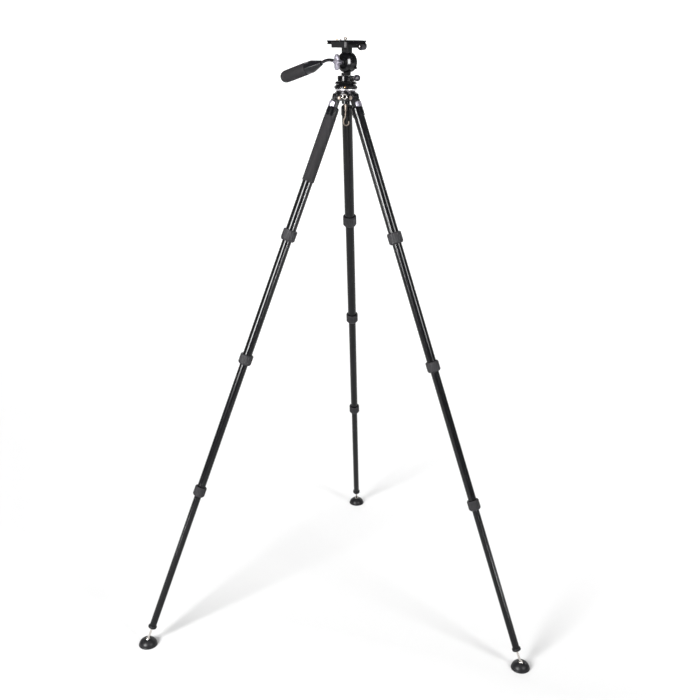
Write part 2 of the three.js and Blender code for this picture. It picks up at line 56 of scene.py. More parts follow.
TUBE_RADII = (14, 12.5, 11, 9.5)
TUBE_WALL = 1.2
HINGE_RADIUS = 25
HINGE_HEIGHT = 1495
PIN_BORE = 4.4  # radius of the holes for the hinge bolts and the tilt axle
EYE_HALF = 7.8  # half the width of a leg's hinge eye
EAR_GAP = 8.1  # half the gap between two ears of the shoulder
CUP_TOP = 25  # where a leg head widens, down from the hinge
CUP_END = 49.5  # its lower edge
CUP_RADIUS = 15.8
TAB_MIDDLE = 20
LOCKS = ((19.2, 360.5, 31), (17.8, 715.5, 28.5), (16.4, 1109, 28))  # radius, top, height
TUBE_IN_LOCK = 18.5
TUBE_TOPS = (29.3, 352, 714, 1098)
LEG_END = 1550.5
GRIP_SPAN = (50, 227)
FOOT_RADIUS = 26
BALL_RADIUS = 8
BALL_HEIGHT = 15.5

PORT_HEIGHT = 1498
CAP_HEIGHT = 1503.8  # underside of the shoulder's cap
LEVEL_HEIGHT = 1517
PAN_KNOB_HEIGHT = 1544.1
TILT_HEIGHT = 1582
CLAMP_HEIGHT = 1617
PLATE_HEIGHT = 1625.3
BAR_Y = -15.65
CLAMP_SPAN = (-29, 26.5)
CLAMP_SCREW_X = 17
CLAMP_SCREW_HEIGHT = CLAMP_HEIGHT + 4.5
BUTTON_Y = 19.5
BUTTON_HEIGHT = CLAMP_HEIGHT + 4
PLATE_SPAN = (-51, 52)
CAMERA_SCREW_X = -2.5


# ---- Frames ----

def axes_frame(origin, x, y, z):
    """A frame with its origin in metres, whose own unit is the millimetre."""
    rows = [[x[i] * MM, y[i] * MM, z[i] * MM, origin[i]] for i in range(3)]
    return Matrix(rows + [[0, 0, 0, 1]])


def leg_frame(side):
    """Origin at the hinge bolt, +X outward, +Y along the bolt, and the leg running down -Z."""
    splay = JOINTS[f"{side}_leg_splay"]
    up = -Vector(JOINTS[f"{side}_slide_2"]["axis"])
    across = -Vector(splay["axis"])
    return axes_frame(splay["pos_m"], across.cross(up), across, up)


def foot_frame(side):
    """Origin on the floor under the foot's ball, +X away from the tripod."""
    tilt = JOINTS[f"{side}_foot_tilt"]
    across = -Vector(tilt["axis"])
    up = Vector((0, 0, 1))
    x, y, _ = tilt["pos_m"]
    return axes_frame((x, y, 0), across.cross(up), across, up)


def floor_frame():
    """Origin on the floor under the pan axis, with the row's own axes."""
    x, y, _ = JOINTS["pan_turn"]["pos_m"]
    return axes_frame((x, y, 0), (1, 0, 0), (0, 1, 0), (0, 0, 1))


def head_frame(height=0):
    """Origin on the pan axis, +X towards the lens side, -Y towards the star knob."""
    x, y, _ = JOINTS["pan_turn"]["pos_m"]
    forward = JOINTS["plate_slide"]["axis"]
    left = JOINTS["tilt_turn"]["axis"]
    return axes_frame((x, y, height * MM), forward, left, (0, 0, 1))


# Takes an outline's X, Y and thickness to Y, Z and X.
LYING = Matrix(((0, 0, 1, 0), (1, 0, 0, 0), (0, 1, 0, 0), (0, 0, 0, 1)))


def turned_to(axis):
    """Turns a shape made about Z so that its axis is +X or +Y."""
    if axis == "X":
        return Matrix.Rotation(math.radians(90), 4, "Y")
    return Matrix.Rotation(math.radians(-90), 4, "X")


# ---- Shapes: each is (vertices, faces), closed ----

def rounded(points, radius, closed=False, steps=4):
    """The outline with its corners rounded. A point's third number is its own corner radius."""
    flat = [Vector(p[:2]) for p in points]
    count = len(flat)
    result = []
    for i, point in enumerate(points):
        here = flat[i]
        size = point[2] if len(point) > 2 else radius
        if size == 0 or (not closed and i in (0, count - 1)):
            result.append(tuple(here))
            continue
        before = flat[i - 1] - here
        after = flat[(i + 1) % count] - here
        reach = min(size, before.length * 0.48, after.length * 0.48)
        start = here + before.normalized() * reach
        end = here + after.normalized() * reach
        for step in range(steps + 1):
            u = step / steps
            result.append(tuple((1 - u) ** 2 * start + 2 * u * (1 - u) * here + u * u * end))
    return result


def lathe(profile, radius=0.4, sides=72, ripple=None, steps=4):
    """[radius, height] points turned about Z. They end on the axis, or close on themselves."""
    closed = profile[0][0] > 0
    points = rounded(profile, radius, closed, steps)
    vertices, rings, faces = [], [], []
    for r, h in points:
        if r < 1e-6:
            rings.append([len(vertices)])
            vertices.append((0, 0, h))
            continue
        rings.append(list(range(len(vertices), len(vertices) + sides)))
        for k in range(sides):
            angle = 2 * math.pi * k / sides
            here = ripple(r, h, angle) if ripple else r
            vertices.append((here * math.cos(angle), here * math.sin(angle), h))
    pairs = list(zip(rings, rings[1:])) + ([(rings[-1], rings[0])] if closed else [])
    for low, high in pairs:
        for k in range(sides):
            n = (k + 1) % sides
            if len(low) == 1:
                faces.append((low[0], high[n], high[k]))
            elif len(high) == 1:
                faces.append((low[k], low[n], high[0]))
            else:
                faces.append((low[k], low[n], high[n], high[k]))
    return vertices, faces


def cylinder(radius, low, high, sides):
    """A plain round pin or hole."""
    return lathe([(0, low), (radius, low), (radius, high), (0, high)], 0, sides)


def arc(radius, start, end, steps=8, centre=(0, 0)):
    """Points of an arc in degrees, as profile points that need no rounding."""
    points = []
    for i in range(steps + 1):
        angle = math.radians(start + (end - start) * i / steps)
        points.append((centre[0] + radius * math.cos(angle), centre[1] + radius * math.sin(angle), 0))
    return points


def prism(outline, low, high, radius=0, steps=5):
    """An outline in X and Y, from one Z to another."""
    points = rounded(outline, radius, True, steps) if radius else [p[:2] for p in outline]
    count = len(points)
    vertices = [(x, y, low) for x, y in points] + [(x, y, high) for x, y in points]
    faces = [tuple(range(count - 1, -1, -1)), tuple(range(count, 2 * count))]
    for i in range(count):
        n = (i + 1) % count
        faces.append((i, n, count + n, count + i))
    return vertices, faces


def block(x, y, z):
    return prism([(x[0], y[0]), (x[1], y[0]), (x[1], y[1]), (x[0], y[1])], z[0], z[1])


def moved(shape, matrix):
    vertices, faces = shape
    return [tuple(matrix @ Vector(v)) for v in vertices], faces


def shifted(shape, x=0, y=0, z=0):
    return moved(shape, Matrix.Translation((x, y, z)))


def along_x(shape):
    return moved(shape, turned_to("X"))


def along_y(shape):
    return moved(shape, turned_to("Y"))


def upright(shape):
    """An outline made in X and Y stands up in X and Z, and its thickness runs along Y."""
    return moved(shape, Matrix.Rotation(math.radians(90), 4, "X") @ Matrix.Diagonal((1, 1, -1, 1)))


def smooth_path(points, steps):
    """A Catmull-Rom curve through the points."""
    knots = [Vector(p) for p in points]
    knots = [2 * knots[0] - knots[1]] + knots + [2 * knots[-1] - knots[-2]]
    path = []
    for i in range(1, len(knots) - 2):
        a, b, c, d = knots[i - 1:i + 3]
        for step in range(steps):
            u = step / steps
            path.append(0.5 * (2 * b + (c - a) * u + (2 * a - 5 * b + 4 * c - d) * u * u
                               + (3 * b - a - 3 * c + d) * u ** 3))
    path.append(knots[-2])
    return path


def swept(path, radius, sides=24, round_ends=True):
    """A round rod along a path in the XZ plane. Its ends are domed."""
    vertices, rings = [], []
    across = Vector((0, 1, 0))
    stations = []
    for i, point in enumerate(path):
        tangent = (path[min(i + 1, len(path) - 1)] - path[max(i - 1, 0)]).normalized()
        stations.append((point, tangent, radius))
    if round_ends:
        caps = [math.radians(a) for a in (80, 60, 40, 20)]
        first, tangent, _ = stations[0]
        head = [(first - tangent * radius * math.sin(a), tangent, radius * math.cos(a)) for a in caps]
        last, tangent, _ = stations[-1]
        tail = [(last + tangent * radius * math.sin(a), tangent, radius * math.cos(a))
                for a in reversed(caps)]
        stations = head + stations + tail
    for point, tangent, size in stations:
        side = tangent.cross(across).normalized()
        rings.append(list(range(len(vertices), len(vertices) + sides)))
        for k in range(sides):
            angle = 2 * math.pi * k / sides
            vertices.append(tuple(point + size * (math.cos(angle) * across + math.sin(angle) * side)))
    faces = [tuple(rings[0]), tuple(reversed(rings[-1]))]
    for low, high in zip(rings, rings[1:]):
        for k in range(sides):
            n = (k + 1) % sides
            faces.append((low[k], high[k], high[n], low[n]))
    return vertices, faces


# ---- From shapes to pieces ----

def mesh_object(name, shape):
    vertices, faces = shape
    mesh = bpy.data.meshes.new(name)
    mesh.from_pydata(vertices, [], faces)
    build = bmesh.new()
    build.from_mesh(mesh)
    bmesh.ops.recalc_face_normals(build, faces=build.faces)
    build.to_mesh(mesh)
    build.free()
    obj = bpy.data.objects.new(name, mesh)
    bpy.context.scene.collection.objects.link(obj)
    return obj


def bake_modifiers(obj):
    bpy.context.view_layer.update()
    evaluated = obj.evaluated_get(bpy.context.evaluated_depsgraph_get())
    mesh = bpy.data.meshes.new_from_object(evaluated)
    obj.modifiers.clear()
    old = obj.data
    obj.data = mesh
    bpy.data.meshes.remove(old)


def combine(obj, shape, operation):
    tool = mesh_object("tool", shape)
    modifier = obj.modifiers.new("combine", "BOOLEAN")
    modifier.operation = operation
    modifier.solver = "MANIFOLD"
    modifier.object = tool
    bake_modifiers(obj)
    bpy.data.objects.remove(tool)


def make(name, shapes, body, material, at, cuts=(), bevel=0.0, node=None, sharp=32):
    """A finished piece: shapes joined, cut, bevelled, placed, shaded and riding on its body."""
    first, *others = shapes if isinstance(shapes, list) else [shapes]
    obj = mesh_object(name, first)
    for shape in others:
        combine(obj, shape, "UNION")
    for shape in cuts:
        combine(obj, shape, "DIFFERENCE")
    if bevel:
        edges = obj.modifiers.new("edges", "BEVEL")
        edges.width = bevel
        edges.segments = 3
        edges.limit_method = "ANGLE"
        edges.angle_limit = math.radians(34)
        edges.use_clamp_overlap = True
        bake_modifiers(obj)
    mesh = obj.data
    mesh.name = name
    local = mesh.attributes.new("local", "FLOAT_VECTOR", "POINT")
    local.data.foreach_set("vector", [c for v in mesh.vertices for c in v.co])
    mesh.transform(at)
    if at.determinant() < 0:
        mesh.flip_normals()
    mesh.shade_smooth()
    mesh.set_sharp_from_angle(angle=math.radians(sharp))
    mesh.materials.clear()
    mesh.materials.append(material["material"])
    weighted = obj.modifiers.new("weighted", "WEIGHTED_NORMAL")
    weighted.keep_sharp = True
    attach(obj, body)
    if node:
        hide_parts(node)
    return obj


# ---- Materials ----

def finish(name, slot, color, metallic=0.0, roughness=0.4, spread=0.06, tint=0.12, patch=14.0,
           grain=0.35, bump=0.08, stretch=(1, 1, 1), wear=0.0, coat=0.0, specular=0.5, sheen=0.0):
    """A procedural finish. patch and grain are the sizes, in mm, of the colour's and the bump's noise."""
    material = bpy.data.materials.new(name)
    material.use_nodes = True
    nodes, links = material.node_tree.nodes, material.node_tree.links
    shader = nodes["Principled BSDF"]
    shader.inputs["Metallic"].default_value = metallic
    shader.inputs["Specular IOR Level"].default_value = specular
    shader.inputs["Coat Weight"].default_value = coat
    shader.inputs["Coat Roughness"].default_value = 0.12
    shader.inputs["Sheen Weight"].default_value = sheen

    place = nodes.new("ShaderNodeAttribute")
    place.attribute_name = "local"
    mapping = nodes.new("ShaderNodeMapping")
    mapping.inputs["Scale"].default_value = stretch
    links.new(place.outputs["Vector"], mapping.inputs["Vector"])

    mottle = nodes.new("ShaderNodeTexNoise")
    mottle.inputs["Scale"].default_value = 1 / patch
    mottle.inputs["Detail"].default_value = 5
    links.new(mapping.outputs["Vector"], mottle.inputs["Vector"])

    shade = nodes.new("ShaderNodeMix")
    shade.data_type = "RGBA"
    shade.inputs["A"].default_value = [c * (1 - tint) for c in color] + [1]
    shade.inputs["B"].default_value = [min(1, c * (1 + tint)) for c in color] + [1]
    links.new(mottle.outputs["Fac"], shade.inputs["Factor"])
    tone = shade.outputs["Result"]
    if wear:
        tone = add_wear(nodes, links, tone, color, wear)
    links.new(tone, shader.inputs["Base Color"])

    rough = nodes.new("ShaderNodeMapRange")
    rough.inputs["To Min"].default_value = max(0.02, roughness - spread)
    rough.inputs["To Max"].default_value = min(1, roughness + spread)
    links.new(mottle.outputs["Fac"], rough.inputs["Value"])
    links.new(rough.outputs["Result"], shader.inputs["Roughness"])

    grit = nodes.new("ShaderNodeTexNoise")
    grit.inputs["Scale"].default_value = 1 / grain
    grit.inputs["Detail"].default_value = 3
    links.new(mapping.outputs["Vector"], grit.inputs["Vector"])
    relief = nodes.new("ShaderNodeBump")
    relief.inputs["Strength"].default_value = bump
    relief.inputs["Distance"].default_value = 0.0002
    links.new(grit.outputs["Fac"], relief.inputs["Height"])
    links.new(relief.outputs["Normal"], shader.inputs["Normal"])
    return {"material": material, "slot": slot}


def add_wear(nodes, links, tone, color, amount):
    """Lightens raised edges, where handling has rubbed the finish."""
    geometry = nodes.new("ShaderNodeNewGeometry")
    edge = nodes.new("ShaderNodeMapRange")
    edge.inputs["From Min"].default_value = 0.53
    edge.inputs["From Max"].default_value = 0.62
    edge.inputs["To Max"].default_value = amount
    links.new(geometry.outputs["Pointiness"], edge.inputs["Value"])
    worn = nodes.new("ShaderNodeMix")
    worn.data_type = "RGBA"
    worn.inputs["B"].default_value = [min(1, c + 0.12) for c in color] + [1]
    links.new(edge.outputs["Result"], worn.inputs["Factor"])
    links.new(tone, worn.inputs["A"])
    return worn.outputs["Result"]


ALONG = (1, 1, 0.02)  # stretches noise along a piece's own Z

TUBE = finish("tube_anodised", "tube_black", (0.003, 0.003, 0.0035), 0.0, 0.15, 0.03, 0.3, 9, 0.5, 0.03,
              ALONG, specular=0.22)
CAST = finish("cast_anodised", "cast_black", (0.0015, 0.0015, 0.002), 0.0, 0.15, 0.03, 0.2, 10, 0.3, 0.05,
              wear=0.06, specular=0.2)
RING = finish("ring_anodised", "ring_black", (0.002, 0.002, 0.0025), 0.0, 0.14, 0.03, 0.2, 8, 0.3, 0.04,
              wear=0.1, specular=0.2)
EDGE = finish("machined_edge", "machined_edge", (0.62, 0.6, 0.63), 1.0, 0.26, 0.06, 0.06, 6, 0.25, 0.05)
PLATE = finish("plate_anodised", "plate_black", (0.002, 0.002, 0.0025), 0.0, 0.2, 0.04, 0.2, 9, 0.3, 0.06,
               wear=0.06, specular=0.14)
INLAY = finish("plate_rubber", "lock_rubber", (0.008, 0.008, 0.0085), 0.0, 0.72, 0.08, 0.2, 5, 0.4, 0.3,
               specular=0.2)
BAR = finish("bar_gloss", "bar_black", (0.004, 0.004, 0.005), 0.0, 0.12, 0.03, 0.2, 20, 0.8, 0.03,
             specular=0.3)
LOCK = finish("lock_rubber", "lock_rubber", (0.012, 0.0115, 0.013), 0.0, 0.55, 0.08, 0.18, 7, 0.35, 0.35,
              specular=0.2)
RUBBER = finish("foot_rubber", "foot_rubber", (0.006, 0.006, 0.007), 0.0, 0.40, 0.08, 0.2, 9, 0.5, 0.22,
                specular=0.25)
FOAM = finish("grip_foam", "grip_foam", (0.0125, 0.012, 0.013), 0.0, 0.85, 0.06, 0.16, 6, 0.45, 0.7,
              specular=0.12)
KNOB = finish("knob_plastic", "knob_black", (0.006, 0.0055, 0.008), 0.0, 0.28, 0.05, 0.18, 6, 0.3, 0.12,
              specular=0.35)
LINER = finish("liner_plastic", "liner_plastic", (0.02, 0.02, 0.02), 0.0, 0.6, specular=0.3)
SILVER = finish("tab_silver", "tab_silver", (0.31, 0.295, 0.345), 0.85, 0.29, 0.05, 0.08, 8, 0.25, 0.05,
                wear=0.3)
CHAMPAGNE = finish("champagne_anodised", "bolt_champagne", (0.15, 0.123, 0.102), 0.85, 0.34, 0.05, 0.08, 8,
                   0.25, 0.06)
STEEL = finish("turned_steel", "steel", (0.62, 0.59, 0.56), 1.0, 0.24, 0.05, 0.06, 8, 0.25, 0.05)
GOLD = finish("pin_brass", "steel", (0.42, 0.26, 0.08), 1.0, 0.35)
DARK_STEEL = finish("pin_dark", "steel", (0.03, 0.02, 0.02), 0.5, 0.4)
VIAL = finish("vial_spirit", "vial_glass", (0.55, 0.70, 0.12), 0.0, 0.08, 0.02, 0.05, 6, 0.5, 0.02, coat=1.0)
INDEX = finish("index_paint", "steel", (0.85, 0.42, 0.12), 0.0, 0.4)


# ---- Legs ----

def down_leg(profile):
    """Profile points given as [radius, distance down the leg]."""
    return [(p[0], -p[1], *p[2:]) for p in profile]


def leg_head(side, at):
    eye = along_y(lathe([(0, -EYE_HALF), (8, -EYE_HALF), (8, EYE_HALF), (0, EYE_HALF)], 0.8))
    neck = block((-7.6, 8), (-EYE_HALF, EYE_HALF), (-CUP_TOP - 2, 0))
    heel = block((4, 11), (-EYE_HALF, EYE_HALF), (-13, -7))
    cup = lathe(down_leg([
        (0, CUP_TOP),
        (13.0, CUP_TOP, 1.6),
        (15.3, CUP_TOP + 2.6, 1.6),
        (15.3, CUP_TOP + 8.6, 0.2),
        (CUP_RADIUS, CUP_TOP + 9.2, 0.2),
        (CUP_RADIUS, CUP_END - 5.5),
        (15.3, CUP_END - 5.1, 0.1),
        (15.3, CUP_END - 4.3, 0.1),
        (CUP_RADIUS, CUP_END - 3.9),
        (CUP_RADIUS, CUP_END, 0.7),
        (14.3, CUP_END),
        (14.3, CUP_TOP + 4),
        (0, CUP_TOP + 4),
    ]), 0.4, 96)
    bore = along_y(cylinder(PIN_BORE, -10, 10, 32))
    pocket = block((4.6, 20), (-EAR_GAP, EAR_GAP), (-27.4, -12.6))
    stem = shifted(along_x(cylinder(2.7, -5, 6, 24)), z=-TAB_MIDDLE)
    make(f"{side}_leg_head_fine", [eye, neck, heel, cup], f"{side}_leg", CAST, at, [bore, pocket, stem], 0.5,
         f"{side}_leg_head")


def hex_prism(across_flats, low, high):
    radius = across_flats / math.sqrt(3)
    corners = [(radius * math.cos(math.radians(60 * k)), radius * math.sin(math.radians(60 * k)))
               for k in range(6)]
    return prism(corners, low, high)


def hinge_bolt(side, at):
    bolt = lathe([
        (0, -16.2),
        (4.4, -16.2, 0.3),
        (5, -15.6, 0.3),
        (5, -13.4, 0.2),
        (4, -13.4, 0.1),
        (4, 13.4, 0.1),
        (5, 13.4, 0.2),
        (5, 15.6, 0.3),
        (4.4, 16.2, 0.3),
        (0, 16.2),
    ], 0.2, 64)
    sockets = [along_y(hex_prism(4.6, low, low + 2.4)) for low in (-16.8, 14.4)]
    make(f"{side}_hinge_bolt_fine", along_y(bolt), "root", CHAMPAGNE, at, sockets, 0, f"{side}_hinge_bolt")


def angle_tab(side, at):
    """A spring tab with a round thumb recess in its outer face."""
    half, rise = 7.6, 7
    outline = [(-half, -rise, 2), (half, -rise, 2), (half, rise, 2), (-half, rise, 2)]
    slab = shifted(moved(prism(outline, 5, 13.5, 2), LYING), z=-TAB_MIDDLE)
    stem = shifted(along_x(lathe([(0, -4), (2.3, -4), (2.3, 6), (0, 6)], 0.3, 32)), z=-TAB_MIDDLE)
    recess = shifted(along_x(lathe([(0, 12.3), (3.8, 12.3), (4.6, 14), (0, 14)], 0.3, 48)), z=-TAB_MIDDLE)
    make(f"{side}_angle_tab_fine", [slab, stem], f"{side}_tab", SILVER, at, [recess], 0.6,
         f"{side}_angle_tab")


def tube(side, number, at):
    body = f"{side}_leg" if number == 0 else f"{side}_section_{number + 1}"
    outer = TUBE_RADII[number]
    end = LOCKS[number][1] + TUBE_IN_LOCK if number < 3 else LEG_END - 7
    profile = [(outer, TUBE_TOPS[number]), (outer, end), (outer - TUBE_WALL, end),
               (outer - TUBE_WALL, TUBE_TOPS[number])]
    make(f"{side}_tube_{number + 1}_fine", lathe(down_leg(profile), 0.3, 96, steps=2), body, TUBE, at,
         node=f"{side}_tube_{number + 1}")


def end_cap(side, at):
    """The rubber cap round the lowest tube's end."""
    cap = lathe(down_leg([
        (9.65, LEG_END - 8.2),
        (11.4, LEG_END - 7.6, 1.2),
        (12.2, LEG_END - 6, 1.2),
        (12.2, LEG_END - 1.8, 1.2),
        (10.8, LEG_END, 1.0),
        (3.6, LEG_END, 0.4),
        (3.6, LEG_END - 15, 0.2),
        (8.2, LEG_END - 15, 0.2),
        (8.2, LEG_END - 6.8, 0),
        (9.65, LEG_END - 6.8, 0),
    ]), 0.4, 72)
    make(f"{side}_end_cap", cap, f"{side}_section_4", RUBBER, at)


def twist_lock(side, number, at):
    radius, top, height = LOCKS[number]
    bottom = top + height
    sleeve = TUBE_RADII[number] + 0.4
    lip = TUBE_RADII[number + 1] + 0.45
    ribs = 20

    def ribbed(r, h, angle):
        depth = -h
        if r < radius - 0.9:
            return r
        share = min(max((depth - top - 3.0) / 1.6, 0), max((bottom - 4.2 - depth) / 1.6, 0), 1)
        wave = 0.5 - 0.5 * math.cos(ribs * angle)
        return r - 0.75 * share * wave ** 2

    rows = 16
    side_wall = [(radius, top + 3 + (height - 7.2) * i / rows, 0) for i in range(rows + 1)]
    profile = [
        (sleeve, top + 4.5),
        (sleeve + 1.1, top + 3.2, 0.3),
        (sleeve + 1.3, top + 0.2, 0.3),
        (radius - 2.0, top, 0.5),
        (radius - 0.35, top + 1.9, 0.8),
        *side_wall,
        (radius - 0.3, bottom - 3.6, 0.6),
        (radius - 3.0, bottom, 0.8),
        (lip, bottom, 0.4),
        (lip, top + TUBE_IN_LOCK + 0.5, 0),
        (sleeve, top + TUBE_IN_LOCK + 0.5, 0),
    ]
    parent = f"{side}_lock_{number + 1}"
    make(f"{side}_twist_lock_{number + 1}_fine", lathe(down_leg(profile), 0.4, 160, ribbed, 3), parent,
         LOCK, at, node=f"{side}_twist_lock_{number + 1}", sharp=50)


def grooved_sleeve(inner, outer, start, end, groove, rows=220, sides=144):
    """A foam sleeve down the leg. groove(angle, depth) is how far the surface sinks."""
    flare = 0.5
    wall = []
    for i in range(rows + 1):
        depth = start + 1.2 + (end - start - 2.4) * i / rows
        wall.append((outer, depth, 0))

    def sunk(r, h, angle):
        if r < outer - 0.01:
            return r
        return r - groove(angle, -h)

    profile = [(inner, start, 0.2), (outer - flare, start, 0.5), *wall, (outer - flare, end, 0.5),
               (inner, end, 0.2)]
    return lathe(down_leg(profile), 0.3, sides, sunk, 2)


def line_round(x, y, half_width, half_height, corner, width):
    """1 on a line that follows a rounded rectangle about the origin, fading to 0 beside it."""
    dx = max(abs(x) - half_width + corner, 0)
    dy = max(abs(y) - half_height + corner, 0)
    inside = min(max(abs(x) - half_width + corner, abs(y) - half_height + corner), 0)
    distance = abs(math.hypot(dx, dy) + inside - corner)
    return max(0, 1 - (distance / width) ** 2)


def leg_grip(at):
    start, end = GRIP_SPAN
    outer = 16.1

    def groove(angle, depth):
        turn = (angle + math.radians(120) + math.pi) % (2 * math.pi) - math.pi
        across = turn * outer
        long_line = line_round(across, depth - (start + 76), 7.5, 62, 7, 1.3)
        short_line = line_round(across, depth - (end - 22), 7.5, 9, 4, 1.2)
        ends = max(line_round(0, depth - start - 5, 1e3, 0.2, 0.1, 1.1), 0)
        return 0.55 * max(long_line, short_line) + 0.5 * ends

    shape = grooved_sleeve(TUBE_RADII[0] + 0.1, outer, start, end, groove)
    make("leg_grip_fine", shape, "left_leg", FOAM, at, node="leg_grip", sharp=50)


def foot_stud(side, at):
    """Origin at the hinge: the stud runs down into its ball."""
    tilt = Vector(JOINTS[f"{side}_foot_tilt"]["pos_m"])
    depth = -(at.inverted() @ tilt).z
    meet = math.degrees(math.acos(3.2 / BALL_RADIUS))
    ball = [(r, -h, 0) for r, h, _ in arc(BALL_RADIUS, meet, -90, 20)]
    profile = [
        (0, -(LEG_END - 13)),
        (3.0, -(LEG_END - 13)),
        (3.2, -(LEG_END + 0.6), 0.1),
        (4.3, -(LEG_END + 0.6), 0.4),
        (4.3, -(LEG_END + 3.4), 0.4),
        (3.2, -(LEG_END + 4.0), 0.3),
        *[(r, -depth - h, 0) for r, h, _ in ball[:-1]],
        (0, -depth - BALL_RADIUS),
    ]
    make(f"{side}_foot_stud_fine", lathe(profile, 0.2, 64), f"{side}_section_4", STEEL, at,
         node=f"{side}_foot_stud")


def foot_pad(side, at):
    """A soft dome with a flat tread, which holds the stud's ball in a socket."""
    socket = BALL_RADIUS + 0.35
    lip = math.degrees(math.asin(5 / socket))
    tread = []
    for r in (11.5, 16, 20.5):
        tread += [(r - 2.2, 0, 0.2), (r - 1.9, 0.7, 0.2), (r - 0.3, 0.7, 0.2), (r, 0, 0.2)]
    dome = []
    for i in range(15):
        angle = math.radians(8 + 66 * i / 14)
        dome.append((25.1 * math.cos(angle) ** 0.92, 3.6 + 18.2 * math.sin(angle) ** 1.12, 0))
    shape = lathe([
        (0, 0),
        *tread,
        (25.2, 0, 0.5),
        (FOOT_RADIUS, 0.9, 0.5),
        (FOOT_RADIUS, 3.2, 0.7),
        (25.2, 4.0, 0.3),
        *dome,
        (9.6, 21.3, 0.6),
        (8.3, 21.4, 0.5),
        *[(r, BALL_HEIGHT + h, 0) for r, h, _ in arc(socket, lip, -89, 14)],
        (0, BALL_HEIGHT - socket),
    ], 0.3, 96)
    make(f"{side}_foot_pad_fine", shape, f"{side}_foot", RUBBER, at, node=f"{side}_foot_pad", sharp=50)


def legs():
    for side in SIDES:
        at = leg_frame(side)
        leg_head(side, at)
        hinge_bolt(side, at)
        angle_tab(side, at)
        for number in range(4):
            tube(side, number, at)
        for number in range(3):
            twist_lock(side, number, at)
        end_cap(side, at)
        foot_stud(side, at)
        foot_pad(side, foot_frame(side))
    leg_grip(leg_frame("left"))


# ---- Shoulder and hook ----

def shoulder(at):
    cap = lathe([
        (0, CAP_HEIGHT),
        (29.5, CAP_HEIGHT, 0.1),
        (29.5, 1500.4, 0.4),
        (31.4, 1500.4, 0.5),
        (32, 1501.6, 0.6),
        (32, 1504.9, 0.8),
        (28.2, 1507.8, 1.0),
        (25.6, 1509.6, 0.5),
        (25.4, 1509.2, 0.2),
        (25.4, 1506, 0.3),
        (0, 1506),
    ], 0.4, 144)
    hub = lathe([(0, 1478.4), (10.0, 1478.4, 0.8), (10.8, 1479.4, 0.6), (10.8, 1486, 0.6), (13, 1488, 0.8),
                 (13, 1504.5), (0, 1504.5)], 0.3, 64)
    ear_outline = [(6, 1487.2)]
    ear_outline += [(HINGE_RADIUS + x, HINGE_HEIGHT + z) for x, z, _ in arc(8.2, -90, 4, 14)]
    ear_outline += [(31, 1504.8), (6, 1504.8)]
    mouths, ears, bores = [], [], []
    for side in SIDES:
        hinge = Vector(JOINTS[f"{side}_leg_splay"]["pos_m"])
        centre = at.inverted() @ hinge
        turn = Matrix.Rotation(math.atan2(centre.y, centre.x), 4, "Z")
        mouths.append(moved(block((20, 40), (-EAR_GAP, EAR_GAP), (1490, CAP_HEIGHT)), turn))
        for low in (-EAR_GAP - 5, EAR_GAP):
            ears.append(moved(shifted(upright(prism(ear_outline, -5, 0)), y=low + 5), turn))
        bore = along_y(cylinder(PIN_BORE, -15, 15, 32))
        bores.append(moved(shifted(bore, HINGE_RADIUS, 0, HINGE_HEIGHT), turn))
    boss = shifted(along_y(lathe([(0, -29.6), (7, -29.6, 0.8), (7, -10), (0, -10)], 0.5, 64)),
                   z=PORT_HEIGHT)
    hole = shifted(along_y(cylinder(4.4, -34, -18, 48)), z=PORT_HEIGHT)
    hook_hole = cylinder(3.1, 1477, 1497, 32)
    make("shoulder_fine", [cap, hub, boss, *ears], "root", CAST, at, [*mouths, hole, hook_hole, *bores],
         0.4, "shoulder")
    ring = lathe([(4.2, -32.8), (6.9, -32.8, 0.5), (6.9, -29.4), (4.2, -29.4, 0.2)], 0.4, 64)
    make("accessory_port_ring", shifted(along_y(ring), z=PORT_HEIGHT), "root", STEEL, at)


def weight_hook(at):
    boss = lathe([
        (0, 1459.6),
        (1.9, 1459.8, 0.3),
        (3.5, 1462.6, 0.6),
        (3.5, 1477.7, 0.5),
        (2.6, 1477.7, 0.1),
        (2.6, 1494, 0.4),
        (0, 1494),
    ], 0.4, 48)
    route = [(0, 0, 1464), (-1, 0, 1447), (-5, 0, 1438), (-5, 0, 1429), (1.5, 0, 1423.8), (8, 0, 1428),
             (8.5, 0, 1433.6)]
    wire = swept(smooth_path(route, 14), 1.7)
    make("weight_hook_fine", [boss, wire], "hook", CHAMPAGNE, at, node="weight_hook", sharp=50)


# ---- Levelling bowl ----

def level_base(at):
    ball_seat = [(r, LEVEL_HEIGHT + h, 0) for r, h, _ in arc(21.6, 0.5, -29, 8)]
    shape = lathe([
        (24.6, 1506.3),
        (24.6, 1509.7, 0.2),
        (25.9, 1511.0, 0.3),
        (28.3, 1515.2, 0.8),
        (28.6, 1516.4, 0.2),
        (28.6, 1517.1, 0.3),
        *ball_seat,
        (18.9, 1506.3),
    ], 0.3, 128)
    make("level_base_fine", shape, "root", CAST, at, node="level_base")
    edge = lathe([(25.9, 1510.8, 0.3), (28.9, 1515.4, 0.5), (28.9, 1516.3, 0.3), (27.4, 1516.4, 0.1),
                  (25.4, 1511.6)], 0.15, 144)
    make("level_base_edge", edge, "root", EDGE, at)


def level_liner(at):
    outside = [(r, LEVEL_HEIGHT + h, 0) for r, h, _ in arc(21.25, -16.4, -1.6, 6)]
    inside = [(r, LEVEL_HEIGHT + h, 0) for r, h, _ in arc(20.35, -1.7, -17.1, 6)]
    make("level_liner_fine", lathe(outside + inside, 0, 96), "liner", LINER, at, node="level_liner")


